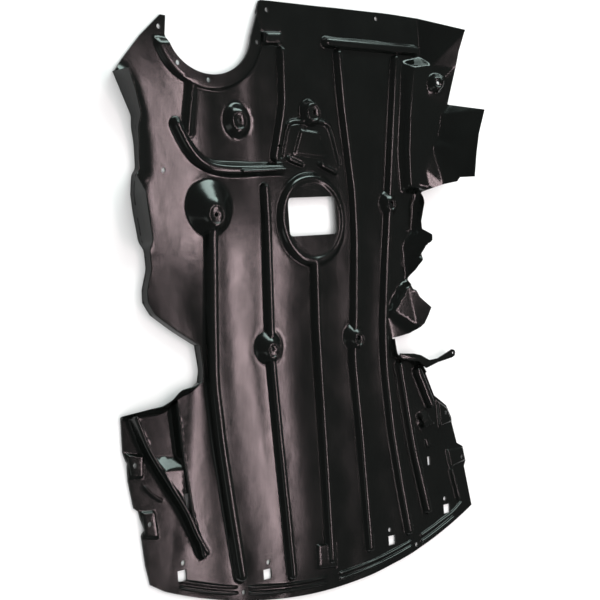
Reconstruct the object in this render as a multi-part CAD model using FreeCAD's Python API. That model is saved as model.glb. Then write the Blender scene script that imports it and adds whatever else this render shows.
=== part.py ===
"""Engine splash shield: one moulded polypropylene tray, ribs and flanges up, lying on its street side.

X runs across the car, +Y to the rear, +Z up toward the engine.  The origin lies on the floor below the
middle of the tray.  Every raised form is a pair of solids, an outer skin and the hollow below it, so that
the whole tray keeps one wall and shows its forms on the street side too.
"""
import FreeCAD
import Part

import math
import os

V = FreeCAD.Vector

# Wall and drafts of the moulding
WALL = 3.0
SIDE_INSET = 1.4
SHEET_BACK = (1.8, 0.5, -2.6)
THROUGH = 40.0
FLAT = 1e-7
RING_POINTS = 32

# Plan of the flat floor: front bow, waist, rear edge
FRONT_MID_Y = -540.0
FRONT_BOW_LEFT_R = 1062.0
FRONT_BOW_RIGHT_R = 990.0
FRONT_BOW_LEFT_X = -390.0
FRONT_BOW_RIGHT_X = 406.0
CORNER_X = 420.0
CORNER_Y = -449.0
WAIST_LEFT_X = -286.0
WAIST_RIGHT_X = 204.0
REAR_Y = 540.0
FLOOR_RIGHT_X = 345.0

# Round cut-out at the left of the rear edge and its raised band
CUTOUT_X = -205.0
CUTOUT_Y = 482.0
CUTOUT_HALF_W = 97.0
CUTOUT_DEPTH = 80.0
BAND_W = 29.0
BAND_H = 6.0

# Stiffening ribs: foot width, crest width, height
RIB_FOOT = 23.0
RIB_CREST = 12.0
RIB_H = 11.0
MAIN_RIB_FOOT = 31.0
MAIN_RIB_CREST = 17.0
MAIN_RIB_H = 14.0
CHANNEL_FOOT = 26.0
CHANNEL_CREST = 12.0
CHANNEL_H = 10.0

# Round plateau with the drain opening
PLATEAU_X = 11.0
PLATEAU_Y = 142.0
PLATEAU_R = 89.0
PLATEAU_CREST_R = 80.0
PLATEAU_H = 10.0
DRAIN_X = 9.5
DRAIN_Y = 148.0
DRAIN_W = 122.0
DRAIN_L = 70.0
DRAIN_CORNER_R = 8.0

# Side walls and the raised right shoulder
CORNER_H = 57.0
FLAP_H = 72.0
LEFT_WALL_H = 43.0
BOX_WALL_H = 40.0
ARCH_WALL_H = 16.0
POCKET_H = 32.0

# Fixing holes
SCREW_HOLE_R = 4.5
DOME_HOLE_R = 4.0
BOSS_HOLE_R = 3.0
CLIP_SLOT_W = 19.0
CLIP_SLOT_L = 18.0
CLIP_HOLE_R = 4.5
CLIP_HOLE_DY = 20.5

# Front lip
BEAD_FOOT = 8.0
BEAD_CREST = 3.0
BEAD_H = 4.0
BEAD_PITCH = 10.0
LIP_EDGE = 7.0

# Ducts toward the front corners
DUCT_H = 19.0


def polygon_wire(points, z):
    """Closed wire of straight edges through plan points at height z."""
    corners = [V(x, y, z) for x, y in points]
    return Part.makePolygon(corners + corners[:1])


def signed_area(points):
    """Twice the signed area of a plan polygon, positive when it turns left."""
    ahead = points[1:] + points[:1]
    return sum(x0 * y1 - x1 * y0 for (x0, y0), (x1, y1) in zip(points, ahead))


def inset(points, distance):
    """Plan polygon moved inwards by a distance, each corner mitred."""
    side = 1.0 if signed_area(points) > 0 else -1.0
    moved = []
    for i, corner in enumerate(points):
        before = V(*corner, 0) - V(*points[i - 1], 0)
        after = V(*points[(i + 1) % len(points)], 0) - V(*corner, 0)
        before.normalize()
        after.normalize()
        n_before = V(-before.y, before.x, 0) * side
        n_after = V(-after.y, after.x, 0) * side
        mitre = (n_before + n_after) * (distance / (1.0 + n_before.dot(n_after)))
        moved.append((corner[0] + mitre.x, corner[1] + mitre.y))
    return moved


def strip(path, width):
    """Plan polygon of the given width round an open path of points."""
    half = width / 2.0
    steps = [V(*b, 0) - V(*a, 0) for a, b in zip(path, path[1:])]
    for step in steps:
        step.normalize()
    left, right = [], []
    for i, (x, y) in enumerate(path):
        before = steps[max(i - 1, 0)]
        after = steps[min(i, len(steps) - 1)]
        n_before = V(-before.y, before.x, 0)
        n_after = V(-after.y, after.x, 0)
        mitre = (n_before + n_after) * (half / (1.0 + n_before.dot(n_after)))
        left.append((x + mitre.x, y + mitre.y))
        right.append((x - mitre.x, y - mitre.y))
    return left + right[::-1]


def stacked(rings):
    """Solid through closed rings of as many corners each, every side flat or split into two triangles."""
    faces = [Part.Face(Part.makePolygon(ring + ring[:1])) for ring in (rings[0], rings[-1])]
    for low, high in zip(rings, rings[1:]):
        for i, corner in enumerate(low):
            side = [low[i - 1], corner, high[i], high[i - 1]]
            normal = (side[1] - side[0]).cross(side[3] - side[0])
            flat = abs(normal.dot(side[2] - side[0])) < FLAT * normal.Length
            for panel in ([side] if flat else [side[:3], [side[0], side[2], side[3]]]):
                faces.append(Part.Face(Part.makePolygon(panel + panel[:1])))
    shell = Part.makeShell(faces)
    shell.sewShape()
    solid = Part.makeSolid(shell)
    if solid.Volume < 0:
        solid.reverse()
    return solid


def tapered(foot, crest, z0, z1):
    """Solid between a foot polygon and a crest polygon with as many corners."""
    return stacked([[V(x, y, z0) for x, y in foot], [V(x, y, z1) for x, y in crest]])


def raised(foot, run, height, base=0.0):
    """Outer skin and hollow of a raised form whose sides slope inwards by run."""
    outer = tapered(foot, inset(foot, run), base, base + height + WALL)
    below = base - WALL
    hollow = tapered(inset(foot, SIDE_INSET), inset(foot, run + SIDE_INSET), below, base + height)
    return outer, hollow


def rib(path, foot, crest, height):
    """Hollow rib of trapezoid section along a path."""
    return raised(strip(path, foot), (foot - crest) / 2.0, height)


def ring(x, y, radius):
    """Plan points round a circle, close enough together that the chords stay within 0.3 mm of it."""
    turns = [2 * math.pi * i / RING_POINTS for i in range(RING_POINTS)]
    return [(x + radius * math.cos(turn), y + radius * math.sin(turn)) for turn in turns]


def leaning_dome(foot, foot_r, seat, seat_r, height):
    """Leaning cone with a flat seat on top, as an outer skin and its hollow."""
    outer = tapered(ring(*foot, foot_r), ring(*seat, seat_r), 0, height + WALL)
    hollow = tapered(ring(*foot, foot_r - SIDE_INSET), ring(*seat, seat_r - SIDE_INSET), -WALL, height)
    return outer, hollow


def dome(x, y, foot_r, seat_r, height, base=0.0):
    """Upright cone with a flat seat on top, as an outer skin and its hollow."""
    outer = Part.makeCone(foot_r, seat_r, height + WALL, V(x, y, base))
    hollow = Part.makeCone(foot_r - SIDE_INSET, seat_r - SIDE_INSET, height + WALL, V(x, y, base - WALL))
    return outer, hollow


def box_between(x0, y0, z0, x1, y1, z1):
    """Upright box between two corners."""
    return Part.makeBox(x1 - x0, y1 - y0, z1 - z0, V(x0, y0, z0))


def drill(x, y, radius):
    """Cutter for a round hole right through."""
    return Part.makeCylinder(radius, 2 * THROUGH + CORNER_H, V(x, y, -THROUGH))


def facets(corners, triangles, back):
    """Folded sheet of flat panels that share their edges, thickened along one common vector."""
    panels = []
    for triangle in triangles:
        points = [V(*corners[name]) for name in triangle.split()]
        panels.append(Part.Face(Part.makePolygon(points + points[:1])).extrude(V(*back)))
    return panels


def fence(stations, z0=0.0):
    """Upstanding flange.  Each station is x, y, height, lean; the wall goes to the left of the path."""
    line = [(x, y) for x, y, _, _ in stations]
    near = strip(line, 2 * WALL)[:len(line)]
    sections = []
    for (x, y, height, lean), (near_x, near_y) in zip(stations, near):
        dx, dy = near_x - x, near_y - y
        out = lean / math.hypot(dx, dy)
        sections.append([V(x, y, z0), V(near_x, near_y, z0),
                         V(near_x - dx * out, near_y - dy * out, z0 + height),
                         V(x - dx * out, y - dy * out, z0 + height)])
    return stacked(sections)


def front_bow(x, offset=0.0):
    """Point of the bowed front edge at x, moved rearwards by offset."""
    radius = FRONT_BOW_LEFT_R if x < 0 else FRONT_BOW_RIGHT_R
    return x, FRONT_MID_Y + radius - math.sqrt(radius ** 2 - x ** 2) + offset


def cutout_point(angle, grow=0.0):
    """Point of the round cut-out, with the angle in degrees from +X."""
    turn = math.radians(angle)
    return (CUTOUT_X + (CUTOUT_HALF_W + grow) * math.cos(turn),
            CUTOUT_Y + (CUTOUT_DEPTH + grow) * math.sin(turn))


def bowed_path(x0, x1, offset, steps):
    """Points along the front bow from x0 to x1."""
    return [front_bow(x0 + (x1 - x0) * i / steps, offset) for i in range(steps + 1)]


def floor_plate():
    """Flat floor of the tray inside its trimmed outline, front edge bowed and waist cut for the wheels."""
    left_front, right_front = front_bow(FRONT_BOW_LEFT_X), front_bow(FRONT_BOW_RIGHT_X)
    left = [(-CORNER_X, CORNER_Y), (-426, -415), (-430, -366), (-425, -356), (-432, -324), (-441, -317),
            (-448, -272), (-448, -242), (-455, -224), (-453, -166), (-408, -166), (-372, -166),
            (-350, -158), (-331, -144), (-304, -137), (WAIST_LEFT_X, -126), (-281, -106), (WAIST_LEFT_X, -63),
            (-332, -35), (-376, -4), (-390, 18), (-389, 39), (-377, 73), (-378, 105), (-388, 119),
            (-395, 169), (-397, 199), (-392, 231), (-383, 241), (-382, 283), (-385, 310), (-383, 329),
            (-414, 402), (-388, 429), (-353, 464), (-307, 501), (-296, 500)]
    right = [(348, 530), (348, 450), (293, 440), (282, 367), (265, 269), (267, 187),
             (309, 187), (297, 160), (286, 111), (257, 83), (259, 50), (261, 14), (240, 3),
             (195, -46), (WAIST_RIGHT_X, -88), (WAIST_RIGHT_X, -128), (262, -136), (294, -169),
             (316, -219), (350, -243), (363, -269), (363, -280), (374, -322), (391, -331), (397, -361),
             (391, -371)]
    edges = []

    def line_to(start, points):
        for point in points:
            edges.append(Part.makeLine(V(*start, 0), V(*point, 0)))
            start = point
        return start

    def arc_to(start, middle, end):
        edges.append(Part.Arc(V(*start, 0), V(*middle, 0), V(*end, 0)).toShape())
        return end

    at = line_to(left_front, left)
    at = line_to(at, [cutout_point(190)])
    at = arc_to(at, cutout_point(232), cutout_point(268))
    at = arc_to(at, cutout_point(304), cutout_point(352))
    at = line_to(at, [(-80, 538), (-76, REAR_Y), (240, 535)])
    at = line_to(at, right)
    at = line_to(at, [right_front])
    at = arc_to(at, front_bow(FRONT_BOW_RIGHT_X / 2), (0, FRONT_MID_Y))
    arc_to(at, front_bow(FRONT_BOW_LEFT_X / 2), left_front)
    return Part.Face(Part.Wire(edges)).extrude(V(0, 0, WALL))


def side_flanges():
    """Upstanding flanges round the trimmed sides, each station as x, y, height, lean."""
    left_rear = [(-414, 402, 44, 0), (-398, 364, 38, 0), (-383, 329, 28, 0), (-385, 310, 20, 0),
                 (-382, 283, 15, 0), (-383, 241, 11, 0), (-392, 231, 14, 0), (-397, 199, LEFT_WALL_H, 0),
                 (-395, 169, LEFT_WALL_H, 0), (-388, 119, BOX_WALL_H, 0), (-378, 105, ARCH_WALL_H, 0),
                 (-377, 73, ARCH_WALL_H, 0), (-389, 39, ARCH_WALL_H, 0), (-390, 18, ARCH_WALL_H, 0),
                 (-376, -4, ARCH_WALL_H, 0), (-332, -35, ARCH_WALL_H, 0), (-286, -63, ARCH_WALL_H, 0),
                 (-281, -106, 14, 0), (-286, -126, 16, 0), (-304, -137, 19, 8), (-331, -144, 19, 12),
                 (-350, -158, 19, 12), (-372, -166, 19, 12), (-408, -166, 19, 9), (-453, -166, 7, 3)]
    right_waist = [(294, -169, 8, 0), (262, -136, 19, 0), (WAIST_RIGHT_X, -128, 18, 0),
                   (WAIST_RIGHT_X, -88, 12, 2)]
    right_rear = [(240, 3, 24, 8), (261, 14, 20, 5), (259, 50, 24, 14), (257, 83, POCKET_H, 36),
                  (286, 111, 26, 10), (297, 160, 26, 6), (309, 187, 17, 2)]
    return [fence(run) for run in (left_rear, right_waist, right_rear)]


SHOULDER = {
    # floor line
    "r0": (345, 531, 3), "r1": (345, 452, 3), "a1": (290, 442, 3), "a2": (279, 367, 3),
    "a3": (262, 269, 3), "a4": (264, 186, 3), "a5": (309, 184, 3),
    # crest line of the slope beside the right rib
    "b1": (308, 432, 20), "b2": (287, 345, 20), "b3": (275, 267, 20), "b4": (272, 197, 20),
    # flat land, rear end and crease toward the corner
    "t": (357, 437, 20), "e": (337, 373, 21), "f0": (397, 357, 21), "f1": (378, 337, 20),
    "f2": (364, 293, 20), "f3": (347, 273, 20), "f4": (318, 230, 20), "f5": (292, 196, 20),
    # raised rear corner
    "c0": (428, 504, CORNER_H - 2), "c1": (410, 430, 40),
    # flap
    "g0": (453.2, 343, FLAP_H), "g1": (430, 294, FLAP_H), "g2": (408, 209, FLAP_H),
    "v1": (393, 268, 48), "v2": (389, 210, 48), "k1": (355, 199, 33), "k2": (322, 191, 24),
}

SHOULDER_FOLDS = (
    "a1 b1 b2", "a1 b2 a2", "a2 b2 b3", "a2 b3 a3", "a3 b3 b4", "a3 b4 a4",
    "r1 t b1", "r1 b1 a1", "a4 b4 f5", "a4 f5 a5",
    "b1 t e", "b1 e b2", "b2 e f1", "e f0 f1", "b2 f1 f2", "b2 f2 b3", "b3 f2 f3", "b3 f3 f4",
    "b3 f4 b4", "b4 f4 f5",
    "r0 c0 r1", "r1 c0 t", "t c0 c1", "t c1 e", "e c1 f0",
    "f0 g0 f1", "f1 g0 f2", "f2 g0 g1", "f2 g1 v1", "g1 g2 v2", "g1 v2 v1", "f2 v1 f3", "f3 v1 v2",
    "f3 v2 k1", "f3 k1 f4", "f4 k1 k2", "f4 k2 f5", "f5 k2 a5",
)

POCKET = {
    "s1": (238, 6, 3), "s2": (190, -48, 3), "s3": (204, -92, 3),
    "q1": (246, 4, 20), "q2": (198, -44, 20), "q3": (256, -77, 27), "q4": (291, -42, 35),
    "q5": (268, -20, 30), "u": (246, -88, 13),
}

POCKET_FOLDS = ("s1 q1 q2", "s1 q2 s2", "q1 q2 q3", "q1 q3 q4", "q1 q4 q5", "s2 q2 q3", "s2 q3 u", "s2 u s3")


def arm():
    """Thin arm with a small eye that reaches out from the waist."""
    outline = [(212, -125), (249, -129), (269, -134), (293, -146), (318, -145), (354, -134), (366, -132),
               (372, -138), (368, -146), (318, -153), (283, -161), (262, -146), (232, -141), (207, -131)]
    plate = Part.Face(polygon_wire(outline, 15)).extrude(V(0, 0, 4))
    return plate


def ducts():
    """Tapering ramps and their ridges behind the front corners."""
    left_ridge = [(-431, -170), (-412, -222), (-380, -275), (-340, -338), (-322, -384), (-303, -416)]
    right_ridge = [(-343, -154), (-338, -250), (-328, -344), (-309, -420)]
    pairs = [rib(left_ridge, 17, 8, 15), rib(right_ridge, 14, 6, 13)]
    foot = [(-392, -236), (-342, -243), (-333, -345), (-306, -424), (-330, -372), (-345, -335)]
    crest = [(-386, -264), (-344, -268), (-335, -344), (-309, -417), (-332, -368), (-346, -332)]
    pairs.append((tapered(foot, crest, 0, DUCT_H),
                  tapered(inset(foot, SIDE_INSET), inset(crest, SIDE_INSET), -WALL, DUCT_H - WALL)))
    small_foot = [(264, -246), (285, -238), (306, -274), (272, -281)]
    small_crest = [(270, -262), (286, -258), (300, -271), (275, -276)]
    pairs.append((tapered(small_foot, small_crest, 0, 11),
                  tapered(inset(small_foot, SIDE_INSET), inset(small_crest, SIDE_INSET), -WALL, 8)))
    pairs.append(rib([(349, -375), (356, -401), (364, -431)], 12, 5, 5))
    return pairs


def lip_beads():
    """Parallel beads that stiffen the bowed front edge, the last one turned up past the clip slot."""
    paths = [bowed_path(x0, x1, 2 * LIP_EDGE + row * BEAD_PITCH, 2)
             for x0, x1 in ((-356, -236), (-206, -18), (18, 216)) for row in (0, 1)]
    paths.append(bowed_path(248, 345, BEAD_PITCH, 2))
    paths.append([front_bow(248, 22), front_bow(290, 22), (322, -464), (343, -460), (372, -443)])
    return [rib(path, BEAD_FOOT, BEAD_CREST, BEAD_H) for path in paths]


def hatch_frame():
    """Frame, sunk panel and two hook blocks of the hatch field behind the drain opening."""
    frame = [(-54, 262), (-32, 324), (76, 322), (95, 243)]
    panel = [(-2, 312), (50, 306), (63, 250), (-27, 259)]
    pairs = [rib(frame, 12, 5, 5), raised(panel, 2, 3)]
    for hook in ([(-38, 262), (2, 248), (-2, 236), (-44, 250)], [(42, 250), (88, 232), (84, 220), (38, 238)]):
        pairs.append(raised(hook, 2, 7))
    return pairs


def tabs():
    """Seats of the screw tabs on the front corners and the pads round the other screw holes."""
    pads = [
        [(-454, -223), (-414, -232), (-418, -271), (-447, -268)],
        [(-432, -323), (-399, -327), (-395, -376), (-429, -369)],
        [(320, -227), (350, -246), (361, -270), (361, -278), (322, -284)],
        [(337, -330), (390, -331), (396, -361), (346, -369)],
        [(278, -302), (294, -302), (295, -319), (278, -318)],
    ]
    pairs = [raised(pad, 1.5, 3) for pad in pads]
    ridge = [(-248, 402), (-251, 374), (-266, 306)]
    pairs.append(rib(ridge, 16, 8, 5))
    pairs.append(rib([(-416, -287), (-404, -303), (-384, -313)], 8, 3, 2))
    return pairs


SCREW_HOLES = ((-312, 481), (-281, 420), (-215, 392), (-94, 463), (-62, 523), (226, 523), (-435, -247),
               (-414, -348), (345, -257), (383, -351), (-220, -502), (233, -502), (-325, 238))
CLIP_SLOTS = ((-352, -446), (-160, -482), (165, -481), (330, -448))


def hole_cutters():
    """Screw holes, clip slots with their small holes, and the slots in the ducts."""
    cutters = [drill(x, y, SCREW_HOLE_R) for x, y in SCREW_HOLES]
    for x, y in CLIP_SLOTS:
        half_w, half_l = CLIP_SLOT_W / 2, CLIP_SLOT_L / 2
        cutters.append(box_between(x - half_w, y - half_l, -THROUGH, x + half_w, y + half_l, THROUGH))
        cutters.append(drill(x - math.copysign(4, x), y + CLIP_HOLE_DY, CLIP_HOLE_R))
    slot = [(-344, -308), (-334, -309), (-332, -342), (-339, -340)]
    cutters.append(tapered(slot, slot, -THROUGH, THROUGH))
    cutters.append(box_between(283, -354, -THROUGH, 291, -337, THROUGH))
    cutters.append(drill(365, -139, 2.5))
    return cutters


def rib_layout():
    """The long ribs of the floor, from the left, and the two short ones at the right front."""
    main = [(-234, 130), (-248, -20), (-256, -130), (-250, -240), (-226, -470)]
    slim = [
        [(-101, 202), (-103, 131), (-117, -100), (-113, -247), (-104, -494)],
        [(10, 62), (2, -60), (1, -135), (-5, -484)],
        [(110, 449), (112, 354), (124, 186), (121, 110), (102, -55), (91, -120), (99, -482)],
        [(268, 445), (238, 272), (194, 22), (180, -71), (176, -146), (183, -270), (196, -373),
         (211, -470)],
        [(218, -150), (239, -309), (268, -438)],
        [(268, -166), (298, -232)],
        [(-36, 449), (-41, 351), (-71, 258)],
    ]
    pairs = [rib(main, MAIN_RIB_FOOT, MAIN_RIB_CREST, MAIN_RIB_H)]
    pairs += [rib(path, RIB_FOOT, RIB_CREST, RIB_H) for path in slim]
    channel = [(-292, 315), (-275, 281), (-252, 254), (-222, 240), (-174, 236), (-58, 236)]
    pairs.append(rib(channel, CHANNEL_FOOT, CHANNEL_CREST, CHANNEL_H))
    pairs.append(rib([(-156, 233), (-56, 235)], CHANNEL_CREST, CHANNEL_CREST / 2, CHANNEL_H + WALL + 2))
    bar_left, bar_right = (82, 471), (328, 465)
    pairs.append(rib([bar_left, bar_right], 22, 12, RIB_H))
    pairs.append(raised([(-80, 484), (-31, 486), (-33, 460), (-82, 458)], 4, 8))
    pairs.append(raised([(-40, -450), (14, -456), (11, -504), (-43, -498)], 5, 5))
    return pairs


# Screw domes: centre x and y, foot radius, seat radius, height, height of the land they stand on
DOMES = (
    (-119, -85, 32, 15, 14, 0),
    (100, -85, 28, 14, 14, 0),
    (220, 165, 26, 13, 12, 0),
    (-153, 322, 32, 19, 9, 0),
    (27, 338, 27, 19, 12, 0),
    (362, 399, 20, 12, 14, 18),
)
LARGE_DOME = ((-232, 172), 52, (-234, 158), 20, 21)


def domes():
    """Screw domes, each with a seat on top."""
    return [leaning_dome(*LARGE_DOME)] + [dome(*sizes) for sizes in DOMES]


def seat_holes():
    """Holes through the dome seats."""
    seats = [sizes[:2] for sizes in DOMES] + [LARGE_DOME[2]]
    return [drill(x, y, DOME_HOLE_R) for x, y in seats] + [drill(-65, 277, BOSS_HOLE_R)]


def cutout_band():
    """Raised band that stiffens the edge of the round cut-out."""
    angles = range(190, 365, 14)
    outer_edge = [cutout_point(a, BAND_W) for a in angles]
    inner_edge = [cutout_point(a, -WALL) for a in angles]
    return raised(outer_edge + inner_edge[::-1], 4, BAND_H)


def plateau():
    """Round plateau round the drain opening."""
    return dome(PLATEAU_X, PLATEAU_Y, PLATEAU_R, PLATEAU_CREST_R, PLATEAU_H)


def drain_cutter():
    """Rounded rectangular cutter for the drain opening."""
    cutter = box_between(DRAIN_X - DRAIN_W / 2, DRAIN_Y - DRAIN_L / 2, -THROUGH,
                         DRAIN_X + DRAIN_W / 2, DRAIN_Y + DRAIN_L / 2, THROUGH)
    upright = [e for e in cutter.Edges if abs(e.BoundBox.ZLength - 2 * THROUGH) < 1e-6]
    return cutter.makeFillet(DRAIN_CORNER_R, upright)


def main():
    """Build the tray and write it."""
    os.makedirs("parts", exist_ok=True)
    pairs = rib_layout() + domes() + [cutout_band(), plateau()]
    pairs += ducts() + lip_beads() + hatch_frame() + tabs()
    outers = [pair[0] for pair in pairs]
    hollows = [pair[1] for pair in pairs]
    sheets = facets(SHOULDER, SHOULDER_FOLDS, SHEET_BACK) + facets(POCKET, POCKET_FOLDS, SHEET_BACK)
    shield = floor_plate().multiFuse(sheets + side_flanges() + outers + [arm()])
    shield = shield.cut(hollows + hole_cutters() + seat_holes() + [drain_cutter()])
    shield = shield.removeSplitter()
    print("solids", len(shield.Solids), "valid", shield.isValid(), "volume", round(shield.Volume))
    shield.exportStep("parts/splash_shield.step")


main()
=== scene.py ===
"""Looks of the engine splash shield, one black moulded tray seen from its engine side.

The tray's skin is one relief: a height for every point of the plan.  Its mesh is a triangulation that follows
the outline, the holes and the break lines of every raised form, and its shading normals come from the relief
itself.  The upright flanges at the left, which a relief can't hold, and the thin arm are swept along their
paths.  Plan sizes are in millimetres, with +X to the right in the photograph, +Y to the rear of the car and
+Z up from the street side.
"""

import logging
import math
from dataclasses import dataclass, field
from enum import Enum

import bpy
import numpy as np
from mathutils import Matrix, Vector
from mathutils.geometry import delaunay_2d_cdt

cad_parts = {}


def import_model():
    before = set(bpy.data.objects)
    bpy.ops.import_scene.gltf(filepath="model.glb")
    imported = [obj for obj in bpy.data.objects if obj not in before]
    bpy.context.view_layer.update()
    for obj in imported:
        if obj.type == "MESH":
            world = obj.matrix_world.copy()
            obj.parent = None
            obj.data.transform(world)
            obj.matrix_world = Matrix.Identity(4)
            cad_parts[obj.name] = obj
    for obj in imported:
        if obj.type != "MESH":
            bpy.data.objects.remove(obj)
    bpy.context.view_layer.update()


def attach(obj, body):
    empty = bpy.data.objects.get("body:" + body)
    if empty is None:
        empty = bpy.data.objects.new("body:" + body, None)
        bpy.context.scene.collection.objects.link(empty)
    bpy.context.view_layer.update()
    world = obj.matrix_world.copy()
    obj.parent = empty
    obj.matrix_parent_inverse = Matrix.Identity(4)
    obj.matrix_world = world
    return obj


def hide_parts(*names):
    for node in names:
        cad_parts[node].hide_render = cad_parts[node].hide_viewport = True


Array = np.ndarray
Plan = tuple[tuple[float, float], ...]
log = logging.getLogger("splash_shield")
MM = 0.001


# Colour, nodes and meshes


def linear(code: str) -> tuple[float, float, float, float]:
    """Linear colour of an sRGB hex code.

    Args:
        code: six hex digits.

    Returns:
        Red, green, blue and alpha for a shader socket.
    """
    parts = [int(code[i:i + 2], 16) / 255 for i in (0, 2, 4)]
    lin = [c / 12.92 if c <= 0.04045 else ((c + 0.055) / 1.055) ** 2.4 for c in parts]
    return lin[0], lin[1], lin[2], 1.0


def add_node(tree: bpy.types.NodeTree, kind: str, settings: dict | None = None,
             inputs: dict | None = None) -> bpy.types.Node:
    """Add a node, set its options and fill or link its inputs.

    Args:
        tree: the node tree.
        kind: the node's type name.
        settings: options by attribute name.
        inputs: values or output sockets by input name or index.

    Returns:
        The new node.
    """
    made = tree.nodes.new(kind)
    for name, value in (settings or {}).items():
        setattr(made, name, value)
    for name, value in (inputs or {}).items():
        if isinstance(value, bpy.types.NodeSocket):
            tree.links.new(value, made.inputs[name])
        else:
            made.inputs[name].default_value = value
    return made


def empty_tree(owner: bpy.types.Material | bpy.types.World) -> bpy.types.NodeTree:
    """Empty the node tree of a material or world.

    Args:
        owner: the material or world.

    Returns:
        The tree without nodes.
    """
    owner.use_nodes = True
    owner.node_tree.nodes.clear()
    return owner.node_tree


def placed(name: str, data: bpy.types.ID) -> bpy.types.Object:
    """New object, linked into the scene.

    Args:
        name: the object's name.
        data: its mesh, light or camera.

    Returns:
        The object.
    """
    made = bpy.data.objects.new(name, data)
    bpy.context.scene.collection.objects.link(made)
    return made


def mesh_object(name: str, points: Array, faces: list[list[int]]) -> bpy.types.Object:
    """Object at the origin from points in millimetres.

    Args:
        name: the object's name.
        points: the corners, one row each.
        faces: the corner numbers of each face.

    Returns:
        The linked object.
    """
    mesh = bpy.data.meshes.new(name)
    mesh.from_pydata((points * MM).tolist(), [], faces)
    mesh.validate()
    mesh.update()
    return placed(name, mesh)


def prism(name: str, loop: Array, low: float, high: float) -> bpy.types.Object:
    """Upright prism over a plan polygon.

    Args:
        name: the object's name.
        loop: the polygon, turning left.
        low: lower end in millimetres.
        high: upper end in millimetres.

    Returns:
        The linked object.
    """
    n = len(loop)
    points = np.vstack([np.column_stack([loop, np.full(n, z)]) for z in (low, high)])
    around = np.arange(n)
    ahead = np.roll(around, -1)
    faces = [around[::-1].tolist(), (n + around).tolist()]
    faces += np.stack([around, ahead, n + ahead, n + around], 1).tolist()
    return mesh_object(name, points, faces)


def apply_modifiers(piece: bpy.types.Object) -> None:
    """Put the result of the piece's modifiers into its mesh and drop them.

    Args:
        piece: the object.
    """
    evaluated = piece.evaluated_get(bpy.context.evaluated_depsgraph_get())
    mesh = bpy.data.meshes.new_from_object(evaluated)
    piece.modifiers.clear()
    piece.data = mesh


def smooth_shading(piece: bpy.types.Object, degrees: float) -> None:
    """Shade smooth, but keep edges sharper than the angle crisp."""
    piece.data.shade_smooth()
    piece.data.set_sharp_from_angle(angle=math.radians(degrees))


# Plan geometry


def eased(share: Array) -> Array:
    """Share from 0 to 1 that starts and ends flat: three times its square less twice its cube."""
    return share * share * (3 - 2 * share)


def even_out(rows: Array, rounds: int) -> None:
    """Average every row but the first and the last with its two neighbours, in place."""
    for _ in range(rounds):
        rows[1:-1] = (rows[:-2] + 2 * rows[1:-1] + rows[2:]) / 4


def directions(line: Array) -> tuple[Array, Array]:
    """Directions of a line at each of its points.

    Args:
        line: the points, one row each.

    Returns:
        Unit vectors along the line, and unit vectors to its left.
    """
    along = np.gradient(line, axis=0)
    along /= np.hypot(*along.T)[:, None]
    return along, np.stack([-along[:, 1], along[:, 0]], 1)


def staggered(x: Array, y: Array) -> Array:
    """Field of points in rows, every second row moved by half a step.

    Args:
        x: places of the columns.
        y: places of the rows.

    Returns:
        The points, one row each.
    """
    across, along = np.meshgrid(x, y)
    across[1::2] += (x[1] - x[0]) / 2
    return np.stack([across.ravel(), along.ravel()], 1)


def soft_max(a: Array, b: Array | float, radius: float) -> Array:
    """Larger of two heights, with a rounded change over: max plus a parabola where the two are close.

    Args:
        a: one height for each point.
        b: the other height.
        radius: difference of height at which the rounding begins.

    Returns:
        The heights.
    """
    gap = np.maximum(radius - np.abs(a - b), 0.0)
    return np.maximum(a, b) + gap * gap / (4.0 * radius)


def soft_min(a: Array, b: Array | float, radius: float) -> Array:
    """Smaller of two heights, rounded in the same way."""
    return -soft_max(-a, -b, radius)


def distance_to_path(x: Array, y: Array, path: Array, closed: bool = False) -> tuple[Array, Array]:
    """Distance from each point to a path of straight runs.

    The foot of each perpendicular is clamped to its run, and the nearest run wins.

    Args:
        x: plan positions across.
        y: plan positions along.
        path: corners of the path, one row each.
        closed: whether the last corner joins the first.

    Returns:
        The distances, and the distances walked along the path to the nearest points.
    """
    ends = np.roll(path, -1, axis=0) if closed else path[1:]
    starts = path if closed else path[:-1]
    best = np.full(x.shape, np.inf)
    passed = np.zeros(x.shape)
    so_far = 0.0
    for a, b in zip(starts, ends):
        run = b - a
        length = float(np.hypot(*run)) or 1e-9
        t = np.clip(((x - a[0]) * run[0] + (y - a[1]) * run[1]) / length ** 2, 0.0, 1.0)
        away = np.hypot(x - a[0] - t * run[0], y - a[1] - t * run[1])
        nearer = away < best
        best = np.where(nearer, away, best)
        passed = np.where(nearer, so_far + t * length, passed)
        so_far += length
    return best, passed


def inside_polygon(x: Array, y: Array, corners: Array) -> Array:
    """Whether each point lies inside a polygon, by counting the edges to its right.

    Args:
        x: plan positions across.
        y: plan positions along.
        corners: the polygon.

    Returns:
        True for each point inside.
    """
    result = np.zeros(x.shape, bool)
    for (ax, ay), (bx, by) in zip(corners, np.roll(corners, -1, axis=0)):
        if ay == by:
            continue
        crosses = (ay > y) != (by > y)
        result ^= crosses & (x < ax + (y - ay) * (bx - ax) / (by - ay))
    return result


def shares(x: Array, y: Array, corners: Array) -> tuple[Array, Array, Array, float]:
    """Share that each corner of a triangle has in plan points, less than zero beyond the side opposite it.

    Args:
        x: plan positions across.
        y: plan positions along.
        corners: the three corners, the first two columns being x and y.

    Returns:
        The three shares, and twice the triangle's signed area.
    """
    (ax, ay), (bx, by), (cx, cy) = corners[:, :2].tolist()
    whole = (by - cy) * (ax - cx) + (cx - bx) * (ay - cy)
    if abs(whole) < 1e-6:
        return x * 0 - 1, x * 0 - 1, x * 0 - 1, whole
    p = ((by - cy) * (x - cx) + (cx - bx) * (y - cy)) / whole
    q = ((cy - ay) * (x - cx) + (ax - cx) * (y - cy)) / whole
    return p, q, 1.0 - p - q, whole


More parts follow.
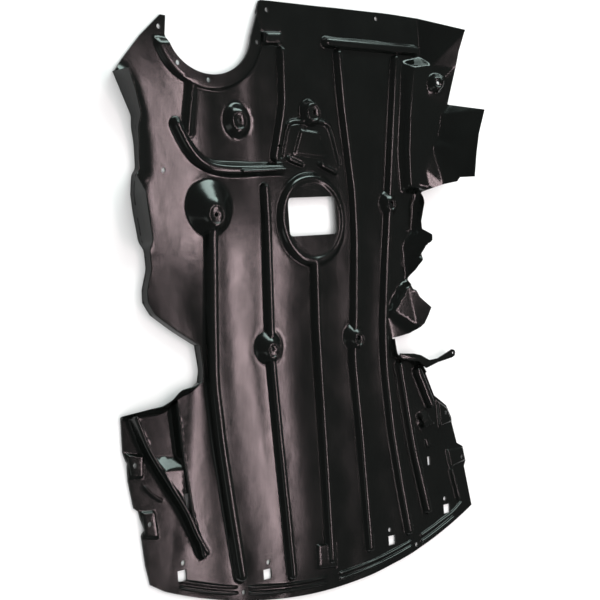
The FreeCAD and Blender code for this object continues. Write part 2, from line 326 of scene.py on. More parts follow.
def curve_through(path: Plan, step: float = 8.0) -> Array:
    """Gently rounded path: points every step along the runs, then averaged over their neighbours.

    Args:
        path: corners of the path.
        step: spacing of the points in millimetres.

    Returns:
        The points, one row each, with the two ends kept.
    """
    corners = np.array(path, float)
    runs = np.hypot(*np.diff(corners, axis=0).T)
    at = np.concatenate([[0.0], np.cumsum(runs)])
    count = max(int(at[-1] / step), 4)
    where = np.linspace(0.0, at[-1], count + 1)
    points = np.stack([np.interp(where, at, corners[:, i]) for i in (0, 1)], 1)
    even_out(points, 6)
    return points


def circle(centre: tuple[float, float], radius: float, spacing: float = 5.0) -> Array:
    """Closed ring of points about the spacing apart, turning left."""
    turn = np.linspace(0, 2 * np.pi, max(int(2 * np.pi * radius / spacing), 14), endpoint=False)
    return np.array(centre) + radius * np.stack([np.cos(turn), np.sin(turn)], 1)


def walked(corners: Array, spacing: float, closed: bool = True) -> Array:
    """Points about the spacing apart along straight runs, with every corner kept.

    Args:
        corners: corners of the line, one row each.
        spacing: largest distance between points.
        closed: whether the last corner joins the first.

    Returns:
        The points, one row each.
    """
    ahead = np.roll(corners, -1, axis=0)
    runs = list(zip(corners, ahead)) if closed else list(zip(corners[:-1], corners[1:]))
    made = []
    for a, b in runs:
        share = np.arange(max(int(np.ceil(np.hypot(*(b - a)) / spacing)), 1))
        made.append(a + (b - a) * (share / len(share))[:, None])
    if not closed:
        made.append(corners[-1:])
    return np.vstack(made)


def inset(corners: Array, distance: float) -> Array:
    """Closed outline moved inwards, each corner mitred.

    Args:
        corners: the outline.
        distance: how far; less than zero moves it outwards.

    Returns:
        The moved corners.
    """
    before = corners - np.roll(corners, 1, axis=0)
    after = np.roll(corners, -1, axis=0) - corners
    before /= np.hypot(*before.T)[:, None]
    after /= np.hypot(*after.T)[:, None]
    area = np.sum(corners[:, 0] * np.roll(corners[:, 1], -1) - np.roll(corners[:, 0], -1) * corners[:, 1])
    side = 1.0 if area > 0 else -1.0
    n0 = side * np.stack([-before[:, 1], before[:, 0]], 1)
    n1 = side * np.stack([-after[:, 1], after[:, 0]], 1)
    return corners + (n0 + n1) * (distance / (1.0 + np.sum(n0 * n1, axis=1)))[:, None]


# Raised forms of the tray, each a height above the floor and the closed lines along which its section breaks


@dataclass(frozen=True)
class Rib:
    """Stiffening rib of trapezoid section along a path."""

    path: Plan
    foot: float = 23.0
    crest: float = 12.5
    height: float = 12.2
    fillet: float = 3.0
    crown: float = 0.16

    def relief(self, x: Array, y: Array) -> Array:
        """Height: falls with distance from the path, with a crowned crest and rounded edge and foot.

        Args:
            x: plan positions across.
            y: plan positions along.

        Returns:
            The heights.
        """
        away, _ = distance_to_path(x, y, curve_through(self.path))
        slope = self.height / ((self.foot - self.crest) / 2)
        flank = (self.foot / 2 - away) * slope
        half = self.crest / 2
        crest = self.height - self.crown * half * np.minimum(away / half, 1.0) ** 2
        return soft_max(soft_min(flank, crest, self.fillet), 0.0, self.fillet)

    def lines(self) -> list[Array]:
        """Closed lines round the path at foot and crest, each with both ends of its fillet."""
        middle = curve_through(self.path)
        along, left = directions(middle)
        soft = self.fillet * (self.foot - self.crest) / 2 / self.height
        made = []
        for reach in (self.foot / 2 + soft, self.foot / 2, self.foot / 2 - soft,
                      self.crest / 2 + soft, self.crest / 2, self.crest / 2 - soft):
            if reach < 1.0:
                continue
            turn = np.linspace(0, np.pi, max(int(reach / 1.4), 4))[1:-1, None]
            front = middle[-1] + reach * (np.cos(turn) * left[-1] + np.sin(turn) * along[-1])
            back = middle[0] - reach * (np.cos(turn) * left[0] + np.sin(turn) * along[0])
            made.append(np.vstack([middle + reach * left, front, (middle - reach * left)[::-1], back]))
        return made


@dataclass(frozen=True)
class Dome:
    """Screw dome: a cone that may lean, with a flat seat, a ring groove and a hole."""

    foot: tuple[float, float]
    foot_r: float
    seat: tuple[float, float]
    seat_r: float
    height: float
    sink: float = 2.2
    groove: float = 0.8
    rounds: int = 6

    def relief(self, x: Array, y: Array) -> Array:
        """Height: each level is a circle between foot and seat, solved by rounds of correction.

        Args:
            x: plan positions across.
            y: plan positions along.

        Returns:
            The heights.
        """
        level = np.zeros(x.shape)
        for _ in range(self.rounds):
            share = np.clip(level, -0.3, 1.0)
            cx = self.foot[0] + (self.seat[0] - self.foot[0]) * share
            cy = self.foot[1] + (self.seat[1] - self.foot[1]) * share
            level = (self.foot_r - np.hypot(x - cx, y - cy)) / (self.foot_r - self.seat_r)
        cone = soft_max(soft_min(level * self.height, self.height, 5.0), 0.0, 4.0)
        off = np.hypot(x - self.seat[0], y - self.seat[1])
        sunk = np.clip((self.seat_r * self.groove - off) / 3.0, 0.0, 1.0)
        return cone - self.sink * eased(sunk)

    def lines(self) -> list[Array]:
        """Circles of the cone from foot to seat, and those of the ring groove."""
        made = []
        for level in (-0.18, -0.08, 0.02, 0.14, 0.32, 0.55, 0.75, 0.88, 0.98, 1.08):
            held = min(max(level, -0.3), 1.0)
            centre = tuple(f + (s - f) * held for f, s in zip(self.foot, self.seat))
            made.append(circle(centre, self.foot_r + (self.seat_r - self.foot_r) * level, 4.0))
        return made + [circle(self.seat, self.seat_r * self.groove - d, 2.5) for d in (0.0, 1.5, 3.0)]


@dataclass(frozen=True)
class Pad:
    """Flat raised field with a straight-sided outline."""

    corners: Plan
    height: float
    run: float = 5.0
    fillet: float = 2.0

    def relief(self, x: Array, y: Array) -> Array:
        """Height: rises inwards from the outline over the run, rounded at both ends.

        Args:
            x: plan positions across.
            y: plan positions along.

        Returns:
            The heights.
        """
        corners = np.array(self.corners, float)
        away, _ = distance_to_path(x, y, corners, closed=True)
        depth = np.where(inside_polygon(x, y, corners), away, -away)
        return soft_max(soft_min(depth * self.height / self.run, self.height, self.fillet), 0.0, self.fillet)

    def lines(self) -> list[Array]:
        """The outline and the crest, each with both ends of its fillet."""
        corners = np.array(self.corners, float)
        soft = self.fillet * self.run / self.height
        depths = (-soft, 0.0, soft, self.run - soft, self.run, self.run + soft)
        return [walked(inset(corners, depth), 6.0) for depth in depths]


@dataclass(frozen=True)
class Ramp:
    """Raised form of flat panels between a foot outline and a crest outline of as many corners."""

    foot: Plan
    crest: Plan
    heights: tuple[float, ...]
    top: tuple[tuple[int, int, int], ...]

    def panels(self) -> list[Array]:
        """The side and top panels as triangles, three rows of x, y and z each."""
        foot = [np.array((*corner, 0.0)) for corner in self.foot]
        crest = [np.array((*corner, height)) for corner, height in zip(self.crest, self.heights)]
        made = [np.array([crest[i], crest[j], crest[k]]) for i, j, k in self.top]
        for i in range(len(foot)):
            j = (i + 1) % len(foot)
            made.append(np.array([foot[i], foot[j], crest[j]]))
            made.append(np.array([foot[i], crest[j], crest[i]]))
        return made

    def relief(self, x: Array, y: Array) -> Array:
        """Height: that of the highest panel above each point.

        Args:
            x: plan positions across.
            y: plan positions along.

        Returns:
            The heights.
        """
        level = np.zeros(x.shape)
        for panel in self.panels():
            p, q, r, _ = shares(x, y, panel)
            az, bz, cz = panel[:, 2]
            over = np.minimum(np.minimum(p, q), r) >= -1e-9
            level = np.where(over, np.maximum(level, p * az + q * bz + r * cz), level)
        return level

    def lines(self) -> list[Array]:
        """The foot outline, a line just inside the crest outline and the crest outline."""
        foot, crest = np.array(self.foot, float), np.array(self.crest, float)
        return [walked(loop, 5.0) for loop in (inset(foot, -0.8), foot, crest, inset(crest, 1.0))]


@dataclass(frozen=True)
class Ribbing:
    """All the long and short ribs of the floor."""

    main: Rib = Rib(((-234, 130), (-248, -20), (-256, -130), (-250, -240), (-238, -360), (-226, -470)),
                    31.0, 18.0, 14.6, 4.0)
    slim: tuple[Plan, ...] = (
        ((-101, 202), (-103, 131), (-113, -24), (-117, -100), (-113, -247), (-108, -367), (-104, -494)),
        ((10, 62), (2, -60), (1, -135), (-3, -399), (-5, -484)),
        ((110, 449), (112, 354), (124, 186), (121, 110), (102, -55), (91, -120), (96, -259), (99, -482)),
        ((268, 445), (238, 272), (216, 143), (194, 22), (180, -71), (176, -146), (183, -270), (196, -373),
         (211, -470)),
        ((218, -150), (239, -309), (268, -438)),
        ((268, -166), (298, -232)),
        ((-36, 449), (-41, 351), (-71, 258)),
        ((82, 471), (328, 465)),
    )
    channel: Plan = ((-292, 315), (-275, 281), (-252, 254), (-222, 240), (-174, 236), (-58, 236))

    def forms(self) -> list:
        """Every rib, the rear channel and the ridge toward the round cut-out."""
        made = [self.main] + [Rib(path) for path in self.slim]
        made.append(Rib(self.channel, 27.0, 12.0, 10.8))
        made.append(Rib(((-156, 233), (-56, 235)), 12.0, 6.0, 15.2, 2.0))
        made.append(Rib(((-248, 402), (-251, 374), (-266, 306)), 26.0, 8.0, 5.9, 4.0))
        return made


@dataclass(frozen=True)
class ScrewDomes:
    """The screw domes on the floor and on the raised rear corner."""

    domes: tuple[Dome, ...] = (
        Dome((-232, 172), 52, (-234, 158), 20, 24),
        Dome((-119, -82), 33, (-119, -88), 15, 17),
        Dome((99, -82), 28, (101, -88), 14, 17),
        Dome((222, 167), 26, (219, 163), 13, 15),
        Dome((-153, 322), 32, (-153, 322), 19, 11),
        Dome((27, 338), 27, (27, 338), 18, 15),
        Dome((362, 399), 20, (362, 399), 12, 9),
    )

    def forms(self) -> list:
        """The domes."""
        return list(self.domes)


@dataclass(frozen=True)
class Plateau:
    """Round plateau round the rectangular drain opening, with a low inner step."""

    centre: tuple[float, float] = (11.0, 142.0)
    foot_r: float = 89.0
    crest_r: float = 80.0
    height: float = 10.8
    sink: float = 2.2

    def relief(self, x: Array, y: Array) -> Array:
        """Height: a low cone with a flat top that sinks a little inside its rim.

        Args:
            x: plan positions across.
            y: plan positions along.

        Returns:
            The heights.
        """
        off = np.hypot(x - self.centre[0], y - self.centre[1])
        rise = (self.foot_r - off) * self.height / (self.foot_r - self.crest_r)
        top = soft_max(soft_min(rise, self.height, 4.0), 0.0, 4.0)
        dish = np.clip((self.crest_r - 6.0 - off) / 7.0, 0.0, 1.0)
        return top - self.sink * eased(dish)

    def lines(self) -> list[Array]:
        """Circles at the foot, the rim and the low inner step."""
        radii = (92, 89, 86, 83, 80, 77.5, 74, 72, 69.5, 67, 60)
        return [circle(self.centre, radius, 5.0) for radius in radii]


@dataclass(frozen=True)
class HatchField:
    """Trapezoid field behind the drain opening: a frame, a panel, two hook blocks and small pads."""

    frame: Plan = ((-54, 262), (-32, 324), (76, 322), (95, 243))
    panel: Plan = ((-2, 312), (50, 306), (63, 250), (-27, 259))
    hooks: tuple[Plan, ...] = (((-38, 262), (2, 248), (-2, 236), (-44, 250)),
                               ((42, 250), (88, 232), (84, 220), (38, 238)))

    def forms(self) -> list:
        """The frame bead, the panel and the hook blocks."""
        made = [Rib(self.frame, 13.0, 5.0, 5.9, 2.5), Pad(self.panel, 4.0, 6.0)]
        made += [Pad(hook, 8.0, 3.0) for hook in self.hooks]
        return made


@dataclass(frozen=True)
class SmallPads:
    """Raised seats of the side tabs, the block at the rear edge and the foot of the middle rib."""

    pads: tuple[tuple[Plan, float], ...] = (
        (((-80, 484), (-31, 486), (-33, 460), (-82, 458)), 10.0),
        (((-40, -450), (14, -456), (11, -504), (-43, -498)), 7.0),
        (((-454, -223), (-414, -232), (-418, -271), (-447, -268)), 4.5),
        (((-432, -323), (-399, -327), (-395, -376), (-429, -369)), 4.5),
        (((320, -227), (350, -246), (361, -270), (361, -278), (322, -284)), 4.5),
        (((337, -330), (390, -331), (396, -361), (346, -369)), 4.5),
    )

    def forms(self) -> list:
        """The pads."""
        return [Pad(corners, height, 4.0) for corners, height in self.pads]


@dataclass(frozen=True)
class Ducts:
    """Tapering ramps and ridges behind the front corners."""

    left_ridge: Plan = ((-431, -170), (-412, -222), (-380, -275), (-340, -338), (-322, -384), (-303, -416))
    right_ridge: Plan = ((-343, -154), (-338, -250), (-328, -344), (-309, -420))
    ramp_foot: Plan = ((-392, -236), (-342, -243), (-333, -345), (-306, -424), (-330, -372), (-345, -335))
    ramp_crest: Plan = ((-386, -264), (-344, -268), (-335, -344), (-309, -417), (-332, -368), (-346, -332))

    def forms(self) -> list:
        """The ridges and ramps of both front corners."""
        top = ((0, 1, 5), (1, 2, 5), (5, 2, 4), (2, 3, 4))
        quad = ((0, 1, 2), (0, 2, 3))
        return [
            Rib(self.left_ridge, 17.0, 8.0, 15.3, 3.0),
            Rib(self.right_ridge, 14.0, 6.0, 14.0, 2.5),
            Ramp(self.ramp_foot, self.ramp_crest, (17.0, 16.0, 12.0, 8.0, 10.0, 12.0), top),
            Ramp(((264, -246), (285, -238), (306, -274), (272, -281)),
                 ((268, -268), (284, -262), (302, -272), (274, -277)), (11.0, 11.0, 9.0, 9.0), quad),
            Ramp(((277, -301), (294, -301), (296, -320), (277, -319)),
                 ((279, -313), (293, -313), (294, -317), (279, -317)), (5.0, 5.0, 5.0, 5.0), quad),
            Rib(((349, -375), (356, -401), (364, -431)), 12.0, 5.0, 7.0, 2.0),
            Rib(((-416, -287), (-404, -303), (-384, -313)), 8.0, 3.0, 3.5, 1.5),
        ]


@dataclass(frozen=True)
class FrontLip:
    """Parallel beads behind the bowed front edge."""

    left_r: float = 1062.0
    right_r: float = 990.0
    front_y: float = -540.0
    spans: tuple[tuple[float, float], ...] = ((-356, -236), (-206, -18), (18, 216))
    offsets: tuple[float, ...] = (14.0, 24.0)
    bead: tuple[float, ...] = (8.5, 3.0, 5.0, 2.0)

    def bow(self, x: float, offset: float = 0.0) -> tuple[float, float]:
        """Point of the bowed edge at x, moved rearwards."""
        radius = self.left_r if x < 0 else self.right_r
        return x, self.front_y + radius - math.sqrt(radius ** 2 - x * x) + offset

    def forms(self) -> list:
        """The beads, each along its part of the bow."""
        made = []
        for x0, x1 in self.spans:
            for offset in self.offsets:
                path = tuple(self.bow(x0 + (x1 - x0) * i / 6, offset) for i in range(7))
                made.append(Rib(path, *self.bead))
        made.append(Rib(tuple(self.bow(x, 10.0) for x in (248, 280, 312, 345)), *self.bead))
        made.append(Rib((self.bow(248, 22.0), self.bow(290, 22.0), (322, -464), (343, -460), (372, -443)),
                        *self.bead))
        return made


@dataclass(frozen=True)
class FlangeRoot:
    """Broad hollow curve by which the floor rises to the upright flange of the left rear side."""

    path: Plan = ((-436, 440), (-404, 402), (-392, 364), (-383, 329), (-385, 310), (-382, 283), (-383, 241),
                  (-392, 231), (-397, 199), (-395, 169), (-388, 119), (-380, 95))
    run: float = 44.0
    height: float = 9.0
    fades: tuple[tuple[float, float], ...] = ((80.0, 60.0), (430.0, 50.0))

    def relief(self, x: Array, y: Array) -> Array:
        """Height: a parabola that starts flat at the run's end and is steepest at the flange.

        Args:
            x: plan positions across.
            y: plan positions along.

        Returns:
            The heights.
        """
        away, _ = distance_to_path(x, y, np.array(self.path, float))
        front, rear = self.fades
        ends = np.clip((y - front[0]) / front[1], 0.0, 1.0) * np.clip((rear[0] - y) / rear[1], 0.0, 1.0)
        return self.height * np.clip(1.0 - away / self.run, 0.0, 1.0) ** 2 * eased(ends)

    def lines(self) -> list[Array]:
        """A closed band round the path."""
        return [walked(np.array(((-440, 440), (-380, 440), (-334, 330), (-340, 60), (-400, 60)), float), 8.0)]


@dataclass(frozen=True)
class RearCutout:
    """Round cut-out at the left of the rear edge, with a raised band round it."""

    centre: tuple[float, float] = (-205.0, 482.0)
    half_width: float = 97.0
    depth: float = 80.0
    band: float = 29.0
    height: float = 6.4

    def at(self, degrees: float, grow: float = 0.0) -> tuple[float, float]:
        """Point of the cut-out's edge at an angle, moved outwards."""
        turn = math.radians(degrees)
        return (self.centre[0] + (self.half_width + grow) * math.cos(turn),
                self.centre[1] + (self.depth + grow) * math.sin(turn))

    def relief(self, x: Array, y: Array) -> Array:
        """Height: a flat band of even width round the oval, faded out to the rear of its ends.

        Args:
            x: plan positions across.
            y: plan positions along.

        Returns:
            The heights.
        """
        u, v = (x - self.centre[0]), (y - self.centre[1])
        radius = np.hypot(u, v) + 1e-6
        edge = 1.0 / np.hypot(u / radius / self.half_width, v / radius / self.depth)
        off = radius - edge
        rise = (self.band - off) * self.height / 5.0
        fade = np.where(u > 0, 1.0, np.clip((-16.0 - v) / 14.0, 0.0, 1.0))
        return soft_max(soft_min(rise, self.height, 3.0), 0.0, 3.0) * eased(fade)

    def lines(self) -> list[Array]:
        """The band's outer edge from foot to crest, and a line near the cut-out."""
        angles = np.linspace(0, 360, 90, endpoint=False)
        reaches = (2.0, 15.0, 22.0, 24.0, 26.0, 29.0, 31.0)
        return [np.array([self.at(a, grow) for a in angles]) for grow in reaches]


@dataclass(frozen=True)
class Shoulder:
    """Folded panels of the right side: shoulder, rear corner, flap, pocket and waist flange."""

    corners: dict = field(default_factory=lambda: {
        "r0": (345, 531, 3), "r1": (345, 452, 3), "a1": (290, 442, 3), "a2": (279, 367, 3),
        "a3": (262, 269, 3), "a4": (264, 186, 3), "a5": (309, 184, 3),
        "b1": (308, 432, 20), "b2": (287, 345, 20), "b3": (275, 267, 20), "b4": (272, 197, 20),
        "t": (357, 437, 20), "e": (337, 373, 21), "f0": (397, 357, 21), "f1": (378, 337, 20),
        "f2": (364, 293, 20), "f3": (347, 273, 20), "f4": (318, 230, 20), "f5": (292, 196, 20),
        "c0": (428, 504, 55), "c1": (410, 430, 40),
        "g0": (453.2, 343, 70), "g1": (430, 294, 70), "g2": (408, 209, 70),
        "v1": (393, 268, 48), "v2": (389, 210, 48), "k1": (355, 199, 33), "k2": (322, 191, 24),
        "s1": (238, 6, 3), "s2": (190, -48, 3), "s3": (204, -92, 3),
        "q1": (246, 4, 20), "q2": (198, -44, 20), "q3": (256, -77, 27), "q4": (291, -42, 35),
        "q5": (268, -20, 30), "u": (246, -88, 13),
        "w1": (261, 14, 3), "w2": (259, 50, 3), "w3": (257, 83, 3), "w4": (286, 111, 3), "w5": (297, 160, 3),
        "x0": (250, 1, 24), "x1": (266, 14, 20), "x2": (273, 50, 24), "x3": (293, 91, 32),
        "x4": (296, 110, 26), "x5": (303, 160, 26), "x6": (311, 183, 17),
    })
    folds: tuple[str, ...] = (
        "a1 b1 b2", "a1 b2 a2", "a2 b2 b3", "a2 b3 a3", "a3 b3 b4", "a3 b4 a4",
        "r1 t b1", "r1 b1 a1", "a4 b4 f5", "a4 f5 a5",
        "b1 t e", "b1 e b2", "b2 e f1", "e f0 f1", "b2 f1 f2", "b2 f2 b3", "b3 f2 f3", "b3 f3 f4",
        "b3 f4 b4", "b4 f4 f5",
        "r0 c0 r1", "r1 c0 t", "t c0 c1", "t c1 e", "e c1 f0",
        "f0 g0 f1", "f1 g0 f2", "f2 g0 g1", "f2 g1 v1", "g1 g2 v2", "g1 v2 v1", "f2 v1 f3", "f3 v1 v2",
        "f3 v2 k1", "f3 k1 f4", "f4 k1 k2", "f4 k2 f5", "f5 k2 a5",
        "s1 q1 q2", "s1 q2 s2", "q1 q2 q3", "q1 q3 q4", "q1 q4 q5", "s2 q2 q3", "s2 q3 u", "s2 u s3",
        "s1 w1 x1", "s1 x1 x0", "w1 w2 x2", "w1 x2 x1", "w2 w3 x3", "w2 x3 x2", "w3 w4 x4", "w3 x4 x3",
        "w4 w5 x5", "w4 x5 x4", "w5 a5 x6", "w5 x6 x5",
    )
    starts_x: float = 150.0

    def base(self, x: Array, y: Array, on_floor: Array, floor: float) -> Array:
        """Height of the folded sheet: the plane of the panel that each point lies deepest in.

        Args:
            x: plan positions across.
            y: plan positions along.
            on_floor: whether each point is on the flat floor.
            floor: height of the flat floor.

        Returns:
            The heights.
        """
        height = np.full(x.shape, floor)
        depth = np.where(on_floor, 1.0, -0.6)
        for fold in self.folds:
            panel = np.array([self.corners[name] for name in fold.split()], float)
            p, q, r, whole = shares(x, y, panel)
            az, bz, cz = panel[:, 2]
            inner = np.minimum(np.minimum(p, q), r) * math.sqrt(abs(whole)) / 30.0
            inner = np.where(inner >= 0, 1.0 + inner, inner)
            better = (inner > depth) & (x > self.starts_x)
            height = np.where(better, p * az + q * bz + r * cz, height)
            depth = np.where(better, inner, depth)
        return np.maximum(height, floor)


# The tray


@dataclass(frozen=True)
class Polypropylene:
    """Black polypropylene, injection moulded against a satin tool: soft wide sheen, faint flow unevenness."""

    colour: str = "090B0A"
    lighter: str = "0D100E"
    roughness: float = 0.15
    grain_mm: float = 1.6
    wave_mm: float = 70.0
    swell: float = 0.12
    swell_depth: float = 0.004
    grain: float = 0.06
    grain_depth: float = 0.0006
    refraction: float = 1.49

    def material(self) -> bpy.types.Material:
        """Build the material.

        Returns:
            The node material.
        """
        made = bpy.data.materials.new("moulded_black_polypropylene")
        tree = empty_tree(made)
        place = add_node(tree, "ShaderNodeTexCoord").outputs["Object"]
        cloud = add_node(tree, "ShaderNodeTexNoise", {}, {
            "Vector": place, "Scale": 1 / (self.wave_mm * MM), "Detail": 3.0, "Roughness": 0.55})
        grain = add_node(tree, "ShaderNodeTexNoise", {}, {
            "Vector": place, "Scale": 1 / (self.grain_mm * MM), "Detail": 2.0, "Roughness": 0.5})
        tint = add_node(tree, "ShaderNodeMix", {"data_type": "RGBA"}, {"Factor": cloud.outputs["Fac"]})
        tint.inputs[6].default_value = linear(self.colour)
        tint.inputs[7].default_value = linear(self.lighter)
        gloss = add_node(tree, "ShaderNodeMapRange", {}, {
            "Value": cloud.outputs["Fac"], "From Min": 0.3, "From Max": 0.7,
            "To Min": self.roughness - 0.03, "To Max": self.roughness + 0.04})
        swell = add_node(tree, "ShaderNodeBump", {}, {
            "Height": cloud.outputs["Fac"], "Strength": self.swell, "Distance": self.swell_depth})
        fine = add_node(tree, "ShaderNodeBump", {}, {
            "Height": grain.outputs["Fac"], "Strength": self.grain, "Distance": self.grain_depth,
            "Normal": swell.outputs["Normal"]})
        shader = add_node(tree, "ShaderNodeBsdfPrincipled", {}, {
            "Base Color": tint.outputs[2], "IOR": self.refraction, "Roughness": gloss.outputs["Result"],
            "Normal": fine.outputs["Normal"]})
        add_node(tree, "ShaderNodeOutputMaterial", {}, {"Surface": shader.outputs["BSDF"]})
        return made


@dataclass
class Tray:
    """The tray's skin as one relief, meshed along its outline, holes and break lines."""

    wall: float = 3.0
    field_step: float = 6.6
    sag: float = 2.4
    bends: tuple[float, ...] = (-2.4, -2.4, 0.9, -1.2, -1.6, -1.2)
    raster: float = 2.0
    half: tuple[float, float] = (480.0, 560.0)
    cell: float = 2.0
    cell_from: tuple[float, float] = (-500.0, -600.0)
    cell_count: tuple[int, int] = (500, 600)
    fine_from: tuple[float, float] = (236.0, -95.0)
    fine_to: tuple[float, float] = (458.0, 535.0)
    fine_step: tuple[float, float] = (4.6, 4.0)
    slope_step: float = 0.7
    steepest: float = 1.5
    outline_left: Plan = (
        (-390, -465.8), (-419, -449), (-426, -415), (-430, -366), (-425, -356), (-432, -324), (-441, -317),
        (-448, -272), (-448, -242), (-454.5, -224), (-453, -166), (-408, -166), (-372, -166), (-350, -158),
        (-331, -144), (-304, -137), (-286, -126), (-281, -106), (-286, -63), (-332, -35), (-376, -4),
        (-390, 18), (-389, 39), (-377, 73), (-378, 105), (-388, 119), (-395, 169), (-397, 199), (-392, 231),
        (-383, 241), (-382, 283), (-385, 310), (-383, 329), (-414, 402), (-388, 429), (-353, 464),
        (-307, 501), (-296, 500))
    outline_right: Plan = (
        (-80, 538), (-76, 540), (240, 535), (345, 530.5), (429, 504), (416, 462), (408, 420), (398, 358),
        (454, 343), (442, 318), (430.5, 294), (420, 256), (408.5, 209), (389, 210), (383, 202), (356, 198),
        (324, 190), (311, 183), (303, 160), (296, 128), (295, 112), (304, 100), (300, 78), (282, 56),
        (266, 28), (252, 2), (262, -6), (268, -20), (291, -42), (283, -56), (272, -72), (246, -89),
        (222, -93), (206, -94), (204, -128), (262, -136), (294, -169), (316, -219), (350, -243),
        (363, -269), (363, -280), (374, -322), (391, -331), (397, -361), (391, -371))
    screw_holes: Plan = (
        (-312, 481), (-281, 420), (-215, 392), (-94, 463), (-62, 523), (226, 523), (-435, -247), (-414, -348),
        (345, -257), (383, -351), (-220, -502), (233, -502), (-325, 238),
        (-348, -425.5), (-156, -461.5), (161, -460.5), (326, -427.5))
    dome_holes: Plan = ((-119, -85), (100, -85), (220, 165), (-153, 322), (27, 338), (362, 399), (-234, 158))
    clip_slots: Plan = ((-352, -446), (-160, -482), (165, -481), (330, -448))
    boss_hole: tuple[float, float] = (-65, 277)
    slits: tuple[Plan, ...] = (((-339, -340), (-332, -342), (-334, -309), (-344, -308)),
                               ((283, -354), (291, -354), (291, -337), (283, -337)))
    drain: tuple[float, float] = (9.5, 148.0)
    drain_half: tuple[float, float] = (53.0, 27.0)
    drain_corner: float = 8.0
    slot_half: tuple[float, float] = (9.5, 9.0)
    screw_r: float = 4.5
    dome_hole_r: float = 4.0
    boss_hole_r: float = 3.0
    bays: tuple[tuple[float, ...], ...] = (
        (-540, -400, -222, -104, -5, 99, 213, 330), (-300, -345, -245, -111, -2, 96, 188, 262),
        (-100, -300, -254, -117, 1, 95, 178, 230), (0, -400, -249, -111, 4, 108, 192, 250),
        (140, -400, -234, -103, 10, 122, 216, 300), (270, -400, -232, -100, 12, 118, 238, 300),
        (450, -400, -232, -100, 12, 110, 269, 330), (545, -400, -232, -100, 12, 110, 285, 340))

    def outline(self) -> Array:
        """Outline of the tray with its bowed front and round cut-out, one row a corner, turning right."""
        lip, cutout = FrontLip(), RearCutout()
        front = [lip.bow(x) for x in np.linspace(406, -390, 60)]
        turns = (np.linspace(190, 268, 22), np.linspace(272, 352, 22))
        arc = [cutout.at(angle) for turn in turns for angle in turn]
        return np.array(front + list(self.outline_left[1:]) + arc + list(self.outline_right), float)

    def floor_outline(self) -> Array:
        """Outline of the flat floor, without the raised right side."""
        right = [
            (-80, 538), (345, 531), (345, 452), (290, 442), (279, 367), (262, 269), (264, 186), (309, 184),
            (297, 160), (286, 111), (257, 83), (259, 50), (261, 14), (238, 6), (190, -48), (204, -92),
            (204, -150), (262, -170), (320, -200), (420, -300), (430, -449), (390, -560), (-390, -560)]
        return np.array([(-500, -560), (-500, 560), (-80, 560)] + right, float)

    def sheet(self) -> Array:
        """Heights of the folded sheet on an even raster of the plan, its folds rounded."""
        x, y = np.meshgrid(*(np.arange(-half, half + 0.1, self.raster) for half in self.half))
        on_floor = inside_polygon(x, y, self.floor_outline())
        base = Shoulder().base(x, y, on_floor, self.wall)
        for _ in range(3):
            even_out(base, 1)
            even_out(base.T, 1)
        return base

    def sampled(self, sheet: Array, x: Array, y: Array) -> Array:
        """Height of the folded sheet at plan points, blended between the four raster points round each.

        Args:
            sheet: raster of the folded sheet.
            x: plan positions across.
            y: plan positions along.

        Returns:
            The heights.
        """
        u = np.clip((x + self.half[0]) / self.raster, 0, sheet.shape[1] - 1.001)
        v = np.clip((y + self.half[1]) / self.raster, 0, sheet.shape[0] - 1.001)
        i, j = u.astype(int), v.astype(int)
        s, t = u - i, v - j
        near = sheet[j, i] * (1 - s) + sheet[j, i + 1] * s
        far = sheet[j + 1, i] * (1 - s) + sheet[j + 1, i + 1] * s
        return near * (1 - t) + far * t

    def dish(self, x: Array, y: Array) -> Array:
        """Shallow bend of each bay, hollow or bulged as a cosine across, flat toward the outer sides.

        Args:
            x: plan positions across.
            y: plan positions along.

        Returns:
            The heights.
        """
        guide = np.array(self.bays, float)
        lines = [np.interp(y, guide[:, 0], guide[:, i]) for i in range(1, guide.shape[1])]
        phase = sum(np.clip((x - a) / (b - a), 0.0, 1.0) for a, b in zip(lines[:-1], lines[1:]))
        last = len(lines) - 1
        inner = np.clip(phase * 2, 0.0, 1.0) * np.clip((last - phase) * 2, 0.0, 1.0)
        bend = np.array(self.bends)[np.minimum(phase.astype(int), last - 1)]
        along = 0.85 + 0.15 * np.sin(y / 95.0 + 1.7 * phase)
        return (self.sag + bend * (0.5 - 0.5 * np.cos(2 * np.pi * phase))) * inner * along

    def parts(self) -> tuple[list, list]:
        """The ribs and beads, and the wider forms that keep the floor under them flat."""
        slender = Ribbing().forms() + FrontLip().forms()
        wide = ScrewDomes().forms() + [Plateau()] + HatchField().forms() + SmallPads().forms()
        wide += Ducts().forms() + [FlangeRoot(), RearCutout()]
        return slender, wide

    def height(self, x: Array, y: Array, sheet: Array) -> Array:
        """Height of the engine side at plan points: folded sheet, dish of the bays, raised forms.

        Args:
            x: plan positions across.
            y: plan positions along.
            sheet: raster of the folded sheet.

        Returns:
            The heights.
        """
        totals = []
        for forms in self.parts():
            total = np.zeros(x.shape)
            for form in forms:
                reach = np.vstack(form.lines())
                low, high = reach.min(0) - 6.0, reach.max(0) + 6.0
                near = np.flatnonzero((x > low[0]) & (x < high[0]) & (y > low[1]) & (y < high[1]))
                rise = form.relief(x[near], y[near])
                total[near] = np.where(np.minimum(total[near], rise) > 0, soft_max(total[near], rise, 1.2),
                                       np.maximum(total[near], rise))
            totals.append(total)
        slender, wide = totals
        base = self.sampled(sheet, x, y)
        flat = np.clip(1.0 - wide / 5.0, 0.0, 1.0) * np.clip(1.0 - (base - self.wall) / 6.0, 0.0, 1.0)
        return base + soft_max(soft_max(slender, wide, 1.0), self.dish(x, y) * flat, 1.0) - 0.3

